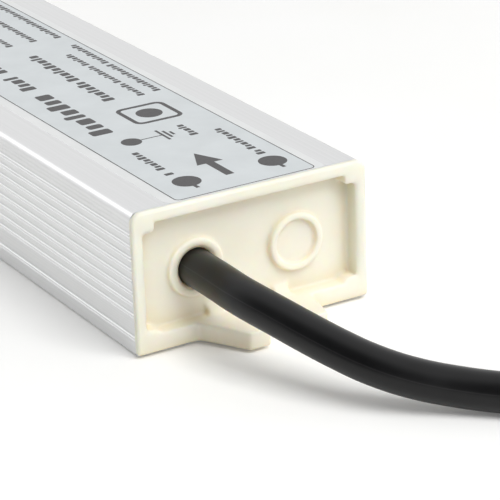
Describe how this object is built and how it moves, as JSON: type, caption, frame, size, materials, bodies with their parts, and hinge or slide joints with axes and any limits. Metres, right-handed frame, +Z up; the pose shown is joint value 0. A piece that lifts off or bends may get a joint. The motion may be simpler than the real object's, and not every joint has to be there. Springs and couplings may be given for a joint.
{
  "type": "led driver",
  "caption": "Slim sealed power supply for lighting: ribbed aluminium tube, ivory recessed end caps with open screw forks, potted board inside and a black mains lead.",
  "frame": {"origin": "middle of the bottom face, on the surface that the case stands on", "axes": "+Y along the case from the input end to the output end, +X across it, +Z up"},
  "size_m": [0.0536, 0.3279, 0.0242],
  "materials": {
    "anodised_case": "satin anodised extrusion",
    "ivory_abs": "moulded, soft gloss",
    "label_foil": "silver foil with dark print",
    "sleeve_film": "thin polyester film",
    "board_laminate": "green solder mask",
    "potting_resin": "cast, matt",
    "moulded_black": "moulded epoxy",
    "dipped_blue": "dipped lacquer",
    "dipped_dark": "dipped lacquer",
    "film_yellow": "moulded box and tape",
    "ferrite": "sintered, matt",
    "enamelled_copper": "enamelled wire",
    "capacitor_sleeve": "shrunk sleeve",
    "spreader_plate": "cut sheet",
    "screw_steel": "zinc plated",
    "bobbin_phenolic": "moulded",
    "lead_jacket": "extruded PVC, satin",
    "core_brown": "extruded PVC",
    "core_blue": "extruded PVC",
    "core_earth": "extruded PVC, green with a yellow stripe",
    "tinned_copper": "tinned strands"
  },
  "bodies": {
    "root": {"case_extrusion": "anodised_case", "input_end_cap": "ivory_abs", "output_end_cap": "ivory_abs", "label": "label_foil", "insulation_sleeve": "sleeve_film", "circuit_board": "board_laminate", "potting_compound": "potting_resin", "bridge_rectifier": "moulded_black", "switch_transistor": "moulded_black", "rectifier_diode": "moulded_black", "controller_chip": "moulded_black", "optocoupler": "moulded_black", "chip_resistors": "moulded_black", "fuse": "moulded_black", "varistor": "dipped_blue", "bridging_capacitor": "dipped_blue", "inrush_limiter": "dipped_dark", "line_capacitor": "film_yellow", "transformer_winding": "film_yellow", "choke_core": "ferrite", "transformer_core": "ferrite", "output_choke_core": "ferrite", "choke_windings": "enamelled_copper", "output_choke_wire": "enamelled_copper", "bulk_capacitor": "capacitor_sleeve", "output_capacitors": "capacitor_sleeve", "switch_spreader": "spreader_plate", "rectifier_spreader": "spreader_plate", "spreader_screws": "screw_steel", "transformer_bobbin": "bobbin_phenolic", "mains_lead": "lead_jacket", "brown_core": "core_brown", "inner_brown_core": "core_brown", "blue_core": "core_blue", "inner_blue_core": "core_blue", "earth_core": "core_earth", "inner_earth_core": "core_earth", "tinned_ends": "tinned_copper"}
  },
  "joints": []
}
